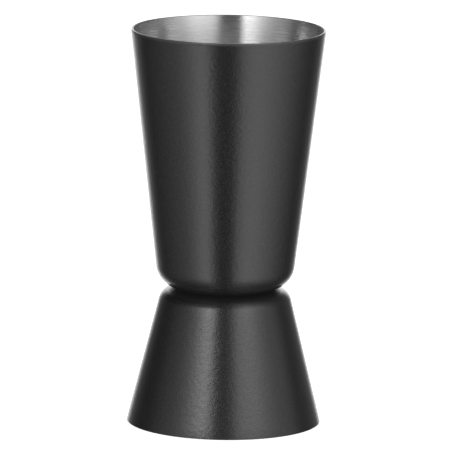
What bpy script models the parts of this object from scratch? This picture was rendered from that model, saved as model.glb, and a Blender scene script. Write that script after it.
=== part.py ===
"""Bar jigger: two deep-drawn steel cups spot-welded base to base, with one coat of black lacquer outside.

Standalone Blender 4.5 script, in metres, +Z up. The origin is on the axis, on the surface that the
small cup's rim stands on. Every surface is worked out from the over-coat shape by an inset along its
normal, so the coat, the steel's outside and the steel's inside stay parallel.
"""

import math

import bmesh
import bpy

OBJECT_NAME = "bar_jigger"

# Driving dimensions, over the coat. A rim radius is where the wall's line meets the rim's plane.
HEIGHT = 0.0787
WAIST_Z = 0.0269
LARGE_RIM_RADIUS = 0.01927
LARGE_DRAFT = math.radians(6.65)
LARGE_CORNER = 0.0050
SMALL_RIM_RADIUS = 0.01922
SMALL_DRAFT = math.radians(13.9)
SMALL_CORNER = 0.0030

# Rounding of each rim's outer edge over the coat, as the (width, height) of a quarter of an ellipse, and
# of its inner edge. The coat goes up the outer edge to the angle COAT_END, where it thins out.
LARGE_EDGE = (0.00015, 0.00045)
SMALL_EDGE = (0.00012, 0.00012)
INNER_EDGE = 0.00005
COAT_END = math.radians(50)

# Steel sheet and lacquer.
SHEET = 0.0004
COAT = 0.00006
COAT_GAP = 0.00002
STEEL_INSET = COAT + COAT_GAP
GROOVE_OPEN = 0.00006
GROOVE_FILL = 0.00060
GROOVE_HALVINGS = 40

# Spot welds, in the gap that the two base discs keep.
WELD_COUNT = 4
WELD_PITCH_RADIUS = 0.0052
WELD_RADIUS = 0.0015
WELD_CLEARANCE = 0.00002

# How finely round things are divided.
TURN_STEPS = 60
CORNER_STEPS = 5
OUTER_EDGE_STEPS = 5
INNER_EDGE_STEPS = 2
WELD_STEPS = 16
MERGE_DISTANCE = 0.000001
SHARP_ANGLE = math.radians(35)

BRUSHED_STEEL = ("brushed_steel", (0.56, 0.56, 0.55, 1.0), 1.0, 0.34)
BLACK_LACQUER = ("black_lacquer", (0.010, 0.010, 0.010, 1.0), 0.0, 0.26)
WELD_STEEL = ("weld_steel", (0.42, 0.40, 0.38, 1.0), 1.0, 0.45)


class CupShape:
    """A cup's over-coat outline as (radius, height above the plane of its base disc)."""

    def __init__(self, rim_radius, draft, corner, depth, edge):
        self.rim_radius = rim_radius
        self.draft = draft
        self.corner = corner
        self.depth = depth
        self.edge = edge

    def wall_radius(self, height, inset):
        """Radius of the conical wall at a height, inset along the wall's normal."""
        fall = (self.depth - height) * math.tan(self.draft)
        return self.rim_radius - fall - inset / math.cos(self.draft)

    def corner_arc(self, inset):
        """Points round the bottom corner, from the wall to the base disc."""
        centre = (self.wall_radius(self.corner, self.corner), self.corner)
        return arc(centre, self.corner - inset, -self.draft, -math.pi / 2, CORNER_STEPS)

    def outer_edge(self, inset, end):
        """Points round the rim's outer edge, from the angle end down to the wall."""
        width, height = self.edge[0] - inset, self.edge[1]
        start = -math.atan(height / width * math.tan(self.draft))
        low = self.depth - height + height * math.sin(start)
        centre = self.wall_radius(low, inset) - width * math.cos(start)
        points = []
        for i in range(OUTER_EDGE_STEPS + 1):
            angle = end + (start - end) * i / OUTER_EDGE_STEPS
            rise = height * (math.sin(angle) - 1)
            points.append((centre + width * math.cos(angle), self.depth + rise))
        return points

    def inner_edge(self, inset):
        """Points from the inside of the wall round the rim's inner edge."""
        height = self.depth - INNER_EDGE
        radius = self.wall_radius(height, inset) + INNER_EDGE / math.cos(self.draft)
        return arc((radius, height), INNER_EDGE, math.pi - self.draft, math.pi / 2, INNER_EDGE_STEPS)

    def groove_height(self, radius):
        """How high the corner stands above the base plane at a radius."""
        reach = radius - self.wall_radius(self.corner, self.corner)
        return self.corner - math.sqrt(self.corner**2 - max(reach, 0.0) ** 2)


def arc(centre, radius, start, end, steps):
    """Points on a circle, from one angle to another."""
    points = []
    for i in range(steps + 1):
        angle = start + (end - start) * i / steps
        points.append((centre[0] + radius * math.cos(angle), centre[1] + radius * math.sin(angle)))
    return points


def upward(points):
    """A large-cup outline placed in the object: heights run up from the waist."""
    return [(radius, WAIST_Z + height) for radius, height in points]


def downward(points):
    """A small-cup outline placed in the object: heights run down from the waist."""
    return [(radius, WAIST_Z - height) for radius, height in points]


def steel_outline(shape):
    """Inner disc centre, up the inside, over the rim, down the outside, outer disc centre."""
    inner = STEEL_INSET + SHEET
    inside = list(reversed(shape.corner_arc(inner)))
    outside = shape.corner_arc(STEEL_INSET)
    rim = shape.inner_edge(inner) + shape.outer_edge(STEEL_INSET, math.pi / 2)
    return [(0.0, inner)] + inside + rim + outside + [(0.0, STEEL_INSET)]


def groove_root(large, small):
    """Radius at which the two coated corners stand GROOVE_OPEN apart, found by halving."""
    near = large.wall_radius(large.corner, large.corner)
    far = near + small.corner
    for _ in range(GROOVE_HALVINGS):
        middle = (near + far) / 2
        if large.groove_height(middle) + small.groove_height(middle) < GROOVE_OPEN:
            near = middle
        else:
            far = middle
    return far


def coat_side(shape, inset, root):
    """One surface of the coat on one cup, from its end on the rim's outer edge to the groove."""
    corner = [point for point in shape.corner_arc(inset) if point[0] > root]
    return shape.outer_edge(inset, COAT_END) + corner


def coat_outline(large, small):
    """One closed loop: down the outside from rim to rim, and back up against the steel."""
    root = groove_root(large, small)
    inner_root = root - GROOVE_FILL
    outside = upward(coat_side(large, 0.0, root))
    outside.append((root, WAIST_Z))
    outside += reversed(downward(coat_side(small, 0.0, root)))
    inside = downward(coat_side(small, COAT, inner_root))
    inside.append((inner_root, WAIST_Z - COAT))
    inside.append((inner_root, WAIST_Z + COAT))
    inside += reversed(upward(coat_side(large, COAT, inner_root)))
    return outside + inside


def material(name, colour, metallic, roughness):
    """A Principled BSDF material."""
    made = bpy.data.materials.new(name)
    made.use_nodes = True
    shader = made.node_tree.nodes["Principled BSDF"]
    shader.inputs["Base Color"].default_value = colour
    shader.inputs["Metallic"].default_value = metallic
    shader.inputs["Roughness"].default_value = roughness
    return made


def add_object(name, mesh, surface, collection, parent):
    """Links a mesh object with its material, under the jigger's empty."""
    mesh.materials.append(surface)
    made = bpy.data.objects.new(name, mesh)
    collection.objects.link(made)
    made.parent = parent
    return made


def turned(name, outline, is_loop, surface, collection, parent):
    """An outline in the XZ plane, turned a full circle about Z by a Screw modifier."""
    mesh = bpy.data.meshes.new(name)
    count = len(outline)
    edges = [(i, i + 1) for i in range(count - 1)]
    if is_loop:
        edges.append((count - 1, 0))
    mesh.from_pydata([(radius, 0.0, z) for radius, z in outline], edges, [])
    made = add_object(name, mesh, surface, collection, parent)
    screw = made.modifiers.new("turn", "SCREW")
    screw.axis = "Z"
    screw.angle = 2 * math.pi
    screw.steps = TURN_STEPS
    screw.render_steps = TURN_STEPS
    screw.use_merge_vertices = True
    screw.merge_threshold = MERGE_DISTANCE
    screw.use_smooth_shade = True
    return made


def weld_nugget(name, angle, surface, collection, parent):
    """A short round slug of fused steel between the two base discs."""
    mesh = bpy.data.meshes.new(name)
    shape = bmesh.new()
    bmesh.ops.create_cone(
        shape,
        cap_ends=True,
        segments=WELD_STEPS,
        radius1=WELD_RADIUS,
        radius2=WELD_RADIUS,
        depth=2 * (STEEL_INSET - WELD_CLEARANCE),
    )
    shape.to_mesh(mesh)
    shape.free()
    mesh.shade_smooth()
    mesh.set_sharp_from_angle(angle=SHARP_ANGLE)
    made = add_object(name, mesh, surface, collection, parent)
    x = WELD_PITCH_RADIUS * math.cos(angle)
    y = WELD_PITCH_RADIUS * math.sin(angle)
    made.location = (x, y, WAIST_Z)
    return made


def clear_scene():
    for old in list(bpy.data.objects):
        bpy.data.objects.remove(old)


def build():
    clear_scene()
    collection = bpy.data.collections.new(OBJECT_NAME)
    bpy.context.scene.collection.children.link(collection)
    parent = bpy.data.objects.new(OBJECT_NAME, None)
    collection.objects.link(parent)

    steel = material(*BRUSHED_STEEL)
    lacquer = material(*BLACK_LACQUER)
    weld = material(*WELD_STEEL)

    large = CupShape(LARGE_RIM_RADIUS, LARGE_DRAFT, LARGE_CORNER, HEIGHT - WAIST_Z, LARGE_EDGE)
    small = CupShape(SMALL_RIM_RADIUS, SMALL_DRAFT, SMALL_CORNER, WAIST_Z, SMALL_EDGE)

    large_outline = upward(steel_outline(large))
    small_outline = list(reversed(downward(steel_outline(small))))
    turned("large_cup", large_outline, False, steel, collection, parent)
    turned("small_cup", small_outline, False, steel, collection, parent)
    turned("black_coat", coat_outline(large, small), True, lacquer, collection, parent)
    for i in range(WELD_COUNT):
        angle = 2 * math.pi * (i + 0.5) / WELD_COUNT
        weld_nugget(f"weld_nugget_{i + 1}", angle, weld, collection, parent)


build()
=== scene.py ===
"""Looks for the bar jigger: fine turned cups and coat, their materials, the light and the camera.

Lengths are in metres. Widths, heights and the waist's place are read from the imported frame. Every
surface is an inset of the over-coat shape along its normal, as in the CAD, so inside, outside and coat
stay parallel.
"""

import math

import bpy
from mathutils import Matrix, Vector


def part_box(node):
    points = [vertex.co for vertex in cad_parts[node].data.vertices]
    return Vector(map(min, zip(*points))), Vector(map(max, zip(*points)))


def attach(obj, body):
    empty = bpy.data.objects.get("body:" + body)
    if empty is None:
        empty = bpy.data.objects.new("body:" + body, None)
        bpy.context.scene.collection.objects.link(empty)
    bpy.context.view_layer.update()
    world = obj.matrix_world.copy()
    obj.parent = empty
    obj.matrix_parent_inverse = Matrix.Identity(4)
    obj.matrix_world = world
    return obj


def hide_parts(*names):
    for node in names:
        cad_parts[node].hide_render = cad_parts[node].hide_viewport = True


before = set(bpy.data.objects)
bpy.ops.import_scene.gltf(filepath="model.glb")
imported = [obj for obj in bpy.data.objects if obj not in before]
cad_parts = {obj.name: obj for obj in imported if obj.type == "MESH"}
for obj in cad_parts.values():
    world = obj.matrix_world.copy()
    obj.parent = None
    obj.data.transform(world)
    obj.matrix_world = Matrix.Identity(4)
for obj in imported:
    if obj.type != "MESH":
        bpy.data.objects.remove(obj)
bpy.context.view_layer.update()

# Sizes read from the frame.
LARGE_LOW, LARGE_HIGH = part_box("large_cup")
SMALL_LOW, SMALL_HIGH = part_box("small_cup")
WAIST_Z = (LARGE_LOW.z + SMALL_HIGH.z) / 2
STEEL_INSET = LARGE_LOW.z - WAIST_Z
HEIGHT = LARGE_HIGH.z

# Form that a box can't tell. An edge is the (width, height) of a rim's outer rounding over the coat.
LARGE_DRAFT = math.radians(6.65)
SMALL_DRAFT = math.radians(13.9)
LARGE_CORNER = 0.0050
SMALL_CORNER = 0.0030
SHEET = 0.0004
LARGE_EDGE = (0.00015, 0.00045)
SMALL_EDGE = (0.00012, 0.00012)
INNER_EDGE = 0.00005

# The coat laps into the steel, ends at an angle round each rim's outer edge, and fills the root of the
# groove.
COAT_OVERLAP = 0.00001
COAT_END = math.radians(80)
GROOVE_OPEN = 0.00004
GROOVE_FILL = 0.00060
GROOVE_HALVINGS = 40

# Spot welds, whose electrodes leave a shallow dent in each cup's floor.
WELD_COUNT = 4
WELD_PITCH_RADIUS = 0.0052
DENT_RADIUS = 0.0016
DENT_DEPTH = 0.00004
FLOOR_TOLERANCE = 0.000001

# Surfaces. Nearly all of a noise lies between these two values.
NOISE_LOW = 0.3
NOISE_HIGH = 0.7

# Brushed steel. A set of brush lines is (lines per metre, turns of noise along them, detail), and a bump
# is (strength, distance). BRUSHED_TURN is the anisotropy's share of a full turn from the tangent round
# the axis. The steel is darker and rougher in a thin band at the top of the large rim.
FINE_LINES = (12000.0, 0.8, 2.0)
BROAD_LINES = (2000.0, 0.7, 1.0)
FINE_SHARE = 0.85
FINE_SPREAD = (0.36, 0.64)
BRUSHED_GREYS = (0.475, 0.525)
BRUSHED_ROUGHNESS = (0.24, 0.35)
BRUSHED_BUMP = (0.35, 0.000008)
BRUSHED_ANISOTROPY = 0.85
BRUSHED_TURN = 0.25
RIM_TOP_BAND = (HEIGHT - 0.00012, HEIGHT - 0.00004)
RIM_TOP_COLOUR = (0.30, 0.30, 0.30, 1.0)
RIM_TOP_ROUGHNESS = 0.25

# Black lacquer. A noise is (scale per metre, detail). A band below the large rim is painted a lighter
# grey as a painted highlight, for the light that the coat's rounded edge catches there.
GRAIN = (4400.0, 1.0)
MOTTLE = (1300.0, 2.0)
CLOUD = (160.0, 2.0)
GRAIN_GREYS = [(0.40, 0.001), (0.60, 0.005), (0.72, 0.014)]
GRAIN_RELIEF = 0.35
MOTTLE_SHARE = 0.6
# A band below the large rim and its lighter grey: a painted highlight where the coat rounds over the
# edge.
PAINTED_HIGHLIGHT_BAND = (HEIGHT - 0.0006, HEIGHT - 0.0001)
PAINTED_HIGHLIGHT_COLOUR = (0.034, 0.034, 0.034, 1.0)
LACQUER_ROUGHNESS = (0.276, 0.30)
LACQUER_BUMP = (1.0, 0.000026)
LACQUER_IOR = 1.55

# Fused steel.
WELD_RIPPLE = (2600.0, 3.0)
WELD_COLOURS = ((0.33, 0.30, 0.26, 1.0), (0.48, 0.46, 0.43, 1.0))
WELD_ROUGHNESS = (0.38, 0.55)
WELD_BUMP = (0.4, 0.00002)

# How finely round things are divided.
SEGMENTS = 288
CORNER_STEPS = 16
RIM_STEPS = 10
WALL_STEPS = 12
FLOOR_RINGS = 36
SHARP_ANGLE = math.radians(35)


class CupShape:
    """A cup's over-coat outline as (radius, height above the plane of its base disc).

    rim_radius is where the wall's line meets the rim's plane. edge is the (width, height) of the quarter
    of an ellipse that takes the wall over into the rim.
    """

    def __init__(self, rim_radius, draft, corner, depth, edge):
        self.rim_radius = rim_radius
        self.draft = draft
        self.corner = corner
        self.depth = depth
        self.edge = edge

    def wall_radius(self, height, inset):
        """Radius of the conical wall at a height, inset along the wall's normal."""
        fall = (self.depth - height) * math.tan(self.draft)
        return self.rim_radius - fall - inset / math.cos(self.draft)

    def corner_arc(self, inset):
        """Points round the bottom corner, from the wall to the base disc."""
        centre = (self.wall_radius(self.corner, self.corner), self.corner)
        return arc(centre, self.corner - inset, -self.draft, -math.pi / 2, CORNER_STEPS)

    def outer_edge(self, inset, end):
        """Points from the wall round the rim's outer edge, up to the angle end."""
        width, height = self.edge[0] - inset, self.edge[1]
        start = -math.atan(height / width * math.tan(self.draft))
        low = self.depth - height + height * math.sin(start)
        centre = self.wall_radius(low, inset) - width * math.cos(start)
        points = []
        for i in range(RIM_STEPS + 1):
            angle = start + (end - start) * i / RIM_STEPS
            rise = height * (math.sin(angle) - 1)
            points.append((centre + width * math.cos(angle), self.depth + rise))
        return points

    def inner_edge(self, inset):
        """Points from the inside of the wall round the rim's inner edge."""
        height = self.depth - INNER_EDGE
        radius = self.wall_radius(height, inset) + INNER_EDGE / math.cos(self.draft)
        return arc((radius, height), INNER_EDGE, math.pi - self.draft, math.pi / 2, RIM_STEPS)

    def wall(self, inset, low, high):
        """Points up the wall between two heights, both ends left out."""
        heights = [low + (high - low) * i / WALL_STEPS for i in range(1, WALL_STEPS)]
        return [(self.wall_radius(height, inset), height) for height in heights]

    def groove_height(self, radius):
        """How high the corner stands above the base plane at a radius."""
        reach = radius - self.wall_radius(self.corner, self.corner)
        return self.corner - math.sqrt(self.corner**2 - max(reach, 0.0) ** 2)


def arc(centre, radius, start, end, steps):
    """Points on a circle, from one angle to another."""
    points = []
    for i in range(steps + 1):
        angle = start + (end - start) * i / steps
        points.append((centre[0] + radius * math.cos(angle), centre[1] + radius * math.sin(angle)))
    return points


def shape_from_steel(widest, draft, corner, depth, edge):
    """The over-coat shape whose steel reaches out to the radius widest at its rim."""
    shape = CupShape(0.0, draft, corner, depth, edge)
    reach = max(radius for radius, _ in shape.outer_edge(STEEL_INSET, math.pi / 2))
    shape.rim_radius = widest - reach
    return shape


def upward(points):
    """A large-cup outline placed in the object: heights run up from the waist."""
    return [(radius, WAIST_Z + height) for radius, height in points]


def downward(points):
    """A small-cup outline placed in the object: heights run down from the waist."""
    return [(radius, WAIST_Z - height) for radius, height in points]


def steel_outline(shape):
    """Inner floor's centre, up the inside, over the rim, down the outside, outer disc's centre."""
    inner = STEEL_INSET + SHEET
    inside = list(reversed(shape.corner_arc(inner)))
    outside = shape.corner_arc(STEEL_INSET)
    rim = shape.inner_edge(inner) + list(reversed(shape.outer_edge(STEEL_INSET, math.pi / 2)))
    rings = [(inside[0][0] * i / FLOOR_RINGS, inner) for i in range(FLOOR_RINGS)]
    up = shape.wall(inner, inside[-1][1], rim[0][1])
    down = list(reversed(shape.wall(STEEL_INSET, outside[0][1], rim[-1][1])))
    return rings + inside + up + rim + down + outside + [(0.0, STEEL_INSET)]


def groove_root(large, small):
    """Radius at which the two coated corners stand GROOVE_OPEN apart, found by halving."""
    near = large.wall_radius(large.corner, large.corner)
    far = near + small.corner
    for _ in range(GROOVE_HALVINGS):
        middle = (near + far) / 2
        if large.groove_height(middle) + small.groove_height(middle) < GROOVE_OPEN:
            near = middle
        else:
            far = middle
    return far


def coat_side(shape, inset, root):
    """One surface of the coat on one cup, from its end on the rim's edge to the groove."""
    edge = list(reversed(shape.outer_edge(inset, COAT_END)))
    corner = shape.corner_arc(inset)
    walls = list(reversed(shape.wall(inset, corner[0][1], edge[-1][1])))
    return edge + walls + [point for point in corner if point[0] > root]


def coat_outline(large, small):
    """One closed loop: down the outside from rim to rim, and back up against the steel."""
    root = groove_root(large, small)
    back = STEEL_INSET + COAT_OVERLAP
    outside = upward(coat_side(large, 0.0, root))
    outside.append((root, WAIST_Z))
    outside += reversed(downward(coat_side(small, 0.0, root)))
    inside = downward(coat_side(small, back, root - GROOVE_FILL))
    inside += reversed(upward(coat_side(large, back, root - GROOVE_FILL)))
    return outside + inside


def lathe(name, outline, is_loop):
    """A mesh turned about Z from an outline of (radius, z). A point on the axis makes one vertex."""
    vertices = []
    rows = []
    for radius, z in outline:
        start = len(vertices)
        if radius == 0.0:
            vertices.append((0.0, 0.0, z))
            rows.append([start] * SEGMENTS)
            continue
        for i in range(SEGMENTS):
            angle = 2 * math.pi * i / SEGMENTS
            vertices.append((radius * math.cos(angle), radius * math.sin(angle), z))
        rows.append(list(range(start, start + SEGMENTS)))
    pairs = list(zip(rows, rows[1:]))
    if is_loop:
        pairs.append((rows[-1], rows[0]))
    faces = []
    for upper, lower in pairs:
        for i in range(SEGMENTS):
            j = (i + 1) % SEGMENTS
            ring = [upper[i], lower[i], lower[j], upper[j]]
            faces.append(list(dict.fromkeys(ring)))
    mesh = bpy.data.meshes.new(name)
    mesh.from_pydata(vertices, [], faces)
    mesh.shade_smooth()
    mesh.set_sharp_from_angle(angle=SHARP_ANGLE)
    made = bpy.data.objects.new(name, mesh)
    bpy.context.scene.collection.objects.link(made)
    return made


def dent_floor(cup, floor_z, way):
    """Presses the weld electrodes' shallow dents into a cup's floor. way is their sign along Z."""
    for vertex in cup.data.vertices:
        if abs(vertex.co.z - floor_z) > FLOOR_TOLERANCE:
            continue
        for i in range(WELD_COUNT):
            angle = 2 * math.pi * (i + 0.5) / WELD_COUNT
            weld = Vector((math.cos(angle), math.sin(angle))) * WELD_PITCH_RADIUS
            reach = (vertex.co.xy - weld).length / DENT_RADIUS
            if reach < 1.0:
                vertex.co.z += way * DENT_DEPTH * (1 + math.cos(math.pi * reach)) / 2


class Nodes:
    """Short calls to build a node tree."""

    def __init__(self, tree):
        self.tree = tree

    def add(self, kind, inputs=None, **settings):
        made = self.tree.nodes.new(kind)
        for name, value in settings.items():
            setattr(made, name, value)
        for name, value in (inputs or {}).items():
            if isinstance(value, bpy.types.NodeSocket):
                self.tree.links.new(value, made.inputs[name])
            else:
                made.inputs[name].default_value = value
        return made

    def math(self, operation, first, second=0.0):
        return self.add("ShaderNodeMath", {0: first, 1: second}, operation=operation).outputs[0]

    def map_range(self, value, from_low, from_high, to_low, to_high):
        inputs = {"Value": value, "From Min": from_low, "From Max": from_high}
        inputs.update({"To Min": to_low, "To Max": to_high})
        return self.add("ShaderNodeMapRange", inputs).outputs["Result"]

    def noise(self, vector, scale, detail=2.0):
        inputs = {"Vector": vector, "Scale": scale, "Detail": detail}
        return self.add("ShaderNodeTexNoise", inputs).outputs["Fac"]

    def mix(self, factor, first, second):
        """A mix of two colours, which are inputs 6 and 7 of the node. The result is its output 2."""
        return self.add("ShaderNodeMix", {0: factor, 6: first, 7: second}, data_type="RGBA").outputs[2]

    def bump(self, height, strength, distance):
        inputs = {"Height": height, "Strength": strength, "Distance": distance}
        return self.add("ShaderNodeBump", inputs).outputs["Normal"]

    def weighted(self, first, first_share, second, second_share):
        """The sum of two values, each times its share."""
        return self.math(
            "ADD", self.math("MULTIPLY", first, first_share), self.math("MULTIPLY", second, second_share)
        )

    def ramp(self, factor, stops, interpolation="LINEAR"):
        """A colour ramp from (place, grey or colour) stops."""
        made = self.add("ShaderNodeValToRGB", {"Fac": factor})
        made.color_ramp.interpolation = interpolation
        elements = made.color_ramp.elements
        while len(elements) < len(stops):
            elements.new(1.0)
        for element, (place, colour) in zip(elements, stops):
            element.position = place
            element.color = colour if isinstance(colour, tuple) else (colour, colour, colour, 1.0)
        return made.outputs["Color"]


def new_material(name):
    """A new Principled material. Returns it with its node builder and its shader."""
    material = bpy.data.materials.new(name)
    material.use_nodes = True
    nodes = Nodes(material.node_tree)
    return material, nodes, material.node_tree.nodes["Principled BSDF"]


def set_inputs(shader, **values):
    """Sets a shader's inputs by name, with _ for a space."""
    for name, value in values.items():
        shader.inputs[name.replace("_", " ")].default_value = value


def lathe_coordinates(nodes, place):
    """Seamless coordinates for marks round the axis: a unit circle along them and a length across."""
    parts = nodes.add("ShaderNodeSeparateXYZ", {"Vector": place}).outputs
    flat = nodes.add("ShaderNodeCombineXYZ", {"X": parts["X"], "Y": parts["Y"]}).outputs[0]
    radius = nodes.add("ShaderNodeVectorMath", {0: flat}, operation="LENGTH").outputs["Value"]
    around = nodes.add("ShaderNodeVectorMath", {0: flat}, operation="NORMALIZE").outputs["Vector"]
    from_waist = nodes.math("ABSOLUTE", nodes.math("SUBTRACT", parts["Z"], WAIST_Z))
    return around, nodes.math("ADD", radius, from_waist)


def brushed_noise(nodes, around, across, lines):
    """Noise that is stretched round the axis into brush lines."""
    lines_per_metre, turns, detail = lines
    inputs = {0: around, "Scale": turns}
    scaled = nodes.add("ShaderNodeVectorMath", inputs, operation="SCALE").outputs["Vector"]
    parts = nodes.add("ShaderNodeSeparateXYZ", {"Vector": scaled}).outputs
    inputs = {"X": parts["X"], "Y": parts["Y"], "Z": nodes.math("MULTIPLY", across, lines_per_metre)}
    vector = nodes.add("ShaderNodeCombineXYZ", inputs).outputs[0]
    return nodes.noise(vector, 1.0, detail)


def height_share(nodes, place, between):
    """How far a point's height lies between two heights, as 0 to 1."""
    z = nodes.add("ShaderNodeSeparateXYZ", {"Vector": place}).outputs["Z"]
    return nodes.map_range(z, between[0], between[1], 0.0, 1.0)


def link_surface(nodes, shader, colour, roughness, normal):
    links = nodes.tree.links
    links.new(colour, shader.inputs["Base Color"])
    links.new(roughness, shader.inputs["Roughness"])
    links.new(normal, shader.inputs["Normal"])


def brushed_steel():
    """Bare stainless steel, brushed round the axis, darker and rougher in a thin band at the large rim's
    top.
    """
    material, nodes, shader = new_material("brushed_steel")
    place = nodes.add("ShaderNodeTexCoord").outputs["Object"]
    rim_top = height_share(nodes, place, RIM_TOP_BAND)
    around, across = lathe_coordinates(nodes, place)
    fine = brushed_noise(nodes, around, across, FINE_LINES)
    broad = brushed_noise(nodes, around, across, BROAD_LINES)
    both = nodes.weighted(fine, FINE_SHARE, broad, 1 - FINE_SHARE)
    brushed = nodes.ramp(both, [(NOISE_LOW, BRUSHED_GREYS[0]), (NOISE_HIGH, BRUSHED_GREYS[1])])
    # The thin band at the top of the large rim is mixed to a darker steel.
    colour = nodes.mix(rim_top, brushed, RIM_TOP_COLOUR)
    smooth = nodes.map_range(fine, *FINE_SPREAD, *BRUSHED_ROUGHNESS)
    roughness = nodes.math("ADD", smooth, nodes.math("MULTIPLY", rim_top, RIM_TOP_ROUGHNESS))
    link_surface(nodes, shader, colour, roughness, nodes.bump(both, *BRUSHED_BUMP))
    tangent = nodes.add("ShaderNodeTangent", direction_type="RADIAL", axis="Z").outputs["Tangent"]
    nodes.tree.links.new(tangent, shader.inputs["Tangent"])
    set_inputs(shader, Metallic=1.0, Anisotropic=BRUSHED_ANISOTROPY, Anisotropic_Rotation=BRUSHED_TURN)
    return material


def black_lacquer():
    """Satin black lacquer with a very fine grain, and a painted highlight: a lighter grey band below the
    large rim.
    """
    material, nodes, shader = new_material("black_lacquer")
    place = nodes.add("ShaderNodeTexCoord").outputs["Object"]
    grain = nodes.noise(place, *GRAIN)
    mottle = nodes.noise(place, *MOTTLE)
    cloud = nodes.noise(place, *CLOUD)
    speckled = nodes.ramp(grain, GRAIN_GREYS)
    # Painted highlight: the band below the large rim is painted a lighter grey.
    colour = nodes.mix(height_share(nodes, place, PAINTED_HIGHLIGHT_BAND), speckled, PAINTED_HIGHLIGHT_COLOUR)
    uneven = nodes.weighted(mottle, MOTTLE_SHARE, cloud, 1 - MOTTLE_SHARE)
    roughness = nodes.map_range(uneven, NOISE_LOW, NOISE_HIGH, *LACQUER_ROUGHNESS)
    relief = nodes.math("ADD", nodes.math("MULTIPLY", grain, GRAIN_RELIEF), mottle)
    link_surface(nodes, shader, colour, roughness, nodes.bump(relief, *LACQUER_BUMP))
    set_inputs(shader, Metallic=0.0, IOR=LACQUER_IOR)
    return material


def weld_steel():
    """Fused steel with a faint straw tint from the heat."""
    material, nodes, shader = new_material("weld_steel")
    place = nodes.add("ShaderNodeTexCoord").outputs["Object"]
    ripple = nodes.noise(place, *WELD_RIPPLE)
    colour = nodes.ramp(ripple, [(NOISE_LOW, WELD_COLOURS[0]), (NOISE_HIGH, WELD_COLOURS[1])])
    roughness = nodes.map_range(ripple, NOISE_LOW, NOISE_HIGH, *WELD_ROUGHNESS)
    link_surface(nodes, shader, colour, roughness, nodes.bump(ripple, *WELD_BUMP))
    set_inputs(shader, Metallic=1.0)
    return material


def finish_piece(piece, material, node):
    """Gives a fine piece its material, and puts it in place of its CAD node."""
    piece.data.materials.append(material)
    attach(piece, "root")
    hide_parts(node)


def build_jigger():
    large = shape_from_steel(LARGE_HIGH.x, LARGE_DRAFT, LARGE_CORNER, HEIGHT - WAIST_Z, LARGE_EDGE)
    small = shape_from_steel(SMALL_HIGH.x, SMALL_DRAFT, SMALL_CORNER, WAIST_Z, SMALL_EDGE)
    steel = brushed_steel()
    lacquer = black_lacquer()
    weld = weld_steel()

    large_cup = lathe("large_cup_brushed", upward(steel_outline(large)), False)
    dent_floor(large_cup, WAIST_Z + STEEL_INSET + SHEET, -1)
    finish_piece(large_cup, steel, "large_cup")

    small_outline = list(reversed(downward(steel_outline(small))))
    small_cup = lathe("small_cup_brushed", small_outline, False)
    dent_floor(small_cup, WAIST_Z - STEEL_INSET - SHEET, 1)
    finish_piece(small_cup, steel, "small_cup")

    coat = lathe("black_coat_skin", coat_outline(large, small), True)
    finish_piece(coat, lacquer, "black_coat")

    for name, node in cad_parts.items():
        if name.startswith("weld_nugget"):
            node.data.materials.clear()
            node.data.materials.append(weld)


# The stage: a pale glowing floor, a studio of soft boxes and a white wall, and the camera.
FLOOR_RADIUS = 6.0
FLOOR_SIDES = 64
FLOOR_COLOUR = (0.86, 0.86, 0.86, 1.0)
FLOOR_ROUGHNESS = 0.9
FLOOR_GLOW = 0.75
WHITE = (1.0, 1.0, 1.0, 1.0)

# Brightness of the studio round the object by (degrees, grey), where 0 degrees is the camera's side and
# positive is its right: a tall soft box on each side of the camera with a dark gap between them, darker
# sides, and a white wall behind. There is one list for low angles, one for the level of the eye, one for
# higher up, and one for the tops of the soft boxes.
STUDIO_BELOW = [
    (-180, 2.30), (-158, 2.40), (-151, 0.45), (-124, 0.02), (-104, 0.19), (-96, 0.24), (-64, 0.60),
    (-46, 1.45), (-33, 2.65), (-24.5, 2.40), (-18.5, 0.00), (12, 0.00), (19, 1.85), (42, 2.10),
    (64, 1.38), (96, 0.40), (124, 0.02), (135, 0.10), (149, 0.22), (157, 0.60), (166, 2.40),
    (180, 2.60),
]
STUDIO_LEVEL = [
    (-180, 2.30), (-162, 2.30), (-155, 0.30), (-124, 0.03), (-112, 0.06), (-104, 0.04), (-92, 0.28),
    (-64, 0.72), (-46, 0.90), (-38, 0.15), (-30, 0.00), (-18, 0.40), (-14, 0.10), (-7, 0.05), (4, 0.03),
    (8.5, 0.24), (12, 1.52), (24, 0.99), (45, 1.10), (64, 1.12), (76, 0.72), (86, 0.85), (98, 0.42),
    (108, 0.08), (120, 0.12), (135, 0.18), (149, 0.24), (158, 0.50), (165, 2.60), (180, 2.80),
]
STUDIO_ABOVE = [
    (-180, 2.70), (-167, 2.20), (-158, 0.40), (-150, 0.00), (-124, 0.00), (-96, 0.02), (-64, 0.56),
    (-46, 2.30), (-33, 6.80), (-20, 8.80), (-15, 0.08), (11.5, 0.08), (19, 3.20), (42, 3.80),
    (64, 1.42), (96, 0.34), (124, 0.12), (150, 0.12), (162, 0.30), (168, 1.80), (180, 2.90),
]
STUDIO_TOP = [
    (-180, 2.70), (-167, 2.20), (-158, 0.40), (-150, 0.00), (-124, 0.00), (-96, 0.02), (-64, 0.45),
    (-46, 0.85), (-33, 1.15), (-20, 1.20), (-15, 0.00), (11.5, 0.00), (19, 1.60), (42, 3.50),
    (64, 1.90), (96, 0.50), (124, 0.12), (150, 0.12), (162, 0.30), (168, 1.80), (180, 2.90),
]
STUDIO_PEAK = 9.0

# Elevations in degrees between which each list gives way to the one named.
LEVEL_FADE = (-16, -7)
ABOVE_FADE = (10, 15)
TOP_FADE = (20, 38)

# Share of that brightness by (elevation in degrees, share). It falls off to a dim floor and ceiling.
STUDIO_HEIGHT = [
    (-90, 0.02), (-60, 0.25), (-25, 1.0), (18, 1.0), (46, 0.52), (66, 0.20), (80, 0.05), (90, 0.05),
]

# The lens's veiling glare, which lifts the deepest blacks.
VEIL = 0.0055

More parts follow.
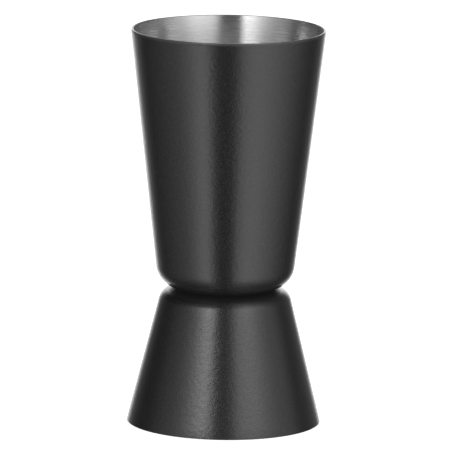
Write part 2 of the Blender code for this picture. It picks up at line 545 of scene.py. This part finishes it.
# The camera stands on the -Y side and looks a little down. Lens and sensor are in millimetres.
CAMERA_DISTANCE = 1.2607
CAMERA_HEIGHT = 0.2700
CAMERA_ROLL = math.radians(0.81)
CAMERA_SENSOR = 36.0
CAMERA_LENS = 515.3
CAMERA_AIM = (0.00001, 0.0, 0.03924)
CAMERA_REACH = 20.0


def build_floor():
    """A round light table, whose glow hides the object's shadow as seen from the front.

    It isn't seen in reflections and casts no shadow itself.
    """
    angles = [2 * math.pi * i / FLOOR_SIDES for i in range(FLOOR_SIDES)]
    rim = [(FLOOR_RADIUS * math.cos(angle), FLOOR_RADIUS * math.sin(angle), 0.0) for angle in angles]
    mesh = bpy.data.meshes.new("floor")
    mesh.from_pydata(rim, [], [list(range(FLOOR_SIDES))])
    floor = bpy.data.objects.new("floor", mesh)
    bpy.context.scene.collection.objects.link(floor)
    material, _, shader = new_material("light_table")
    set_inputs(shader, Base_Color=FLOOR_COLOUR, Roughness=FLOOR_ROUGHNESS)
    set_inputs(shader, Emission_Color=WHITE, Emission_Strength=FLOOR_GLOW)
    mesh.materials.append(material)
    floor.visible_glossy = False
    floor.visible_shadow = False


def studio_ramp(nodes, turn, stops):
    """A ramp round the studio from (degrees, grey) stops."""
    return nodes.ramp(turn, [((angle + 180) / 360, grey / STUDIO_PEAK) for angle, grey in stops])


def studio_fade(nodes, elevation, between, lower, upper):
    """Fades from one ramp to the next between two elevations."""
    low, high = math.radians(between[0]), math.radians(between[1])
    share = nodes.map_range(elevation, low, high, 0.0, 1.0)
    return nodes.mix(share, lower, upper)


def build_world():
    """The studio as the object sees it. The camera itself sees plain white paper behind the object."""
    world = bpy.data.worlds.new("studio")
    world.use_nodes = True
    world.node_tree.nodes.clear()
    nodes = Nodes(world.node_tree)
    direction = nodes.add("ShaderNodeTexCoord").outputs["Generated"]
    parts = nodes.add("ShaderNodeSeparateXYZ", {"Vector": direction}).outputs
    toward_camera = nodes.math("MULTIPLY", parts["Y"], -1.0)
    azimuth = nodes.math("ARCTAN2", parts["X"], toward_camera)
    turn = nodes.map_range(azimuth, -math.pi, math.pi, 0.0, 1.0)
    below = studio_ramp(nodes, turn, STUDIO_BELOW)
    level = studio_ramp(nodes, turn, STUDIO_LEVEL)
    above = studio_ramp(nodes, turn, STUDIO_ABOVE)
    top = studio_ramp(nodes, turn, STUDIO_TOP)
    elevation = nodes.math("ARCSINE", parts["Z"])
    climb = nodes.map_range(elevation, -math.pi / 2, math.pi / 2, 0.0, 1.0)
    heights = [((angle + 90) / 180, share) for angle, share in STUDIO_HEIGHT]
    share = nodes.ramp(climb, heights, "EASE")
    lower = studio_fade(nodes, elevation, LEVEL_FADE, below, level)
    upper = studio_fade(nodes, elevation, TOP_FADE, above, top)
    round_about = studio_fade(nodes, elevation, ABOVE_FADE, lower, upper)
    strength = nodes.math("MULTIPLY", share, STUDIO_PEAK)
    studio = nodes.add("ShaderNodeBackground", {"Color": round_about, "Strength": strength}).outputs[0]
    paper = nodes.add("ShaderNodeBackground", {"Color": WHITE, "Strength": 1.0}).outputs[0]
    seen = nodes.add("ShaderNodeLightPath").outputs["Is Camera Ray"]
    mixed = nodes.add("ShaderNodeMixShader", {0: seen, 1: studio, 2: paper}).outputs[0]
    nodes.add("ShaderNodeOutputWorld", {"Surface": mixed})
    bpy.context.scene.world = world


def build_camera():
    data = bpy.data.cameras.new("camera")
    data.sensor_width = CAMERA_SENSOR
    data.lens = CAMERA_LENS
    data.clip_end = CAMERA_REACH
    camera = bpy.data.objects.new("camera", data)
    bpy.context.scene.collection.objects.link(camera)
    place = Vector((0.0, -CAMERA_DISTANCE, CAMERA_HEIGHT))
    aim = Vector(CAMERA_AIM)
    turn = (aim - place).to_track_quat("-Z", "Y").to_matrix() @ Matrix.Rotation(CAMERA_ROLL, 3, "Z")
    camera.matrix_world = Matrix.Translation(place) @ turn.to_4x4()
    bpy.context.scene.camera = camera


def set_view():
    """Plain display colours, with black lifted by the veil."""
    view = bpy.context.scene.view_settings
    view.view_transform = "Standard"
    view.use_curve_mapping = True
    view.curve_mapping.black_level = (-VEIL, -VEIL, -VEIL)
    view.curve_mapping.update()


build_jigger()
build_floor()
build_world()
build_camera()
set_view()
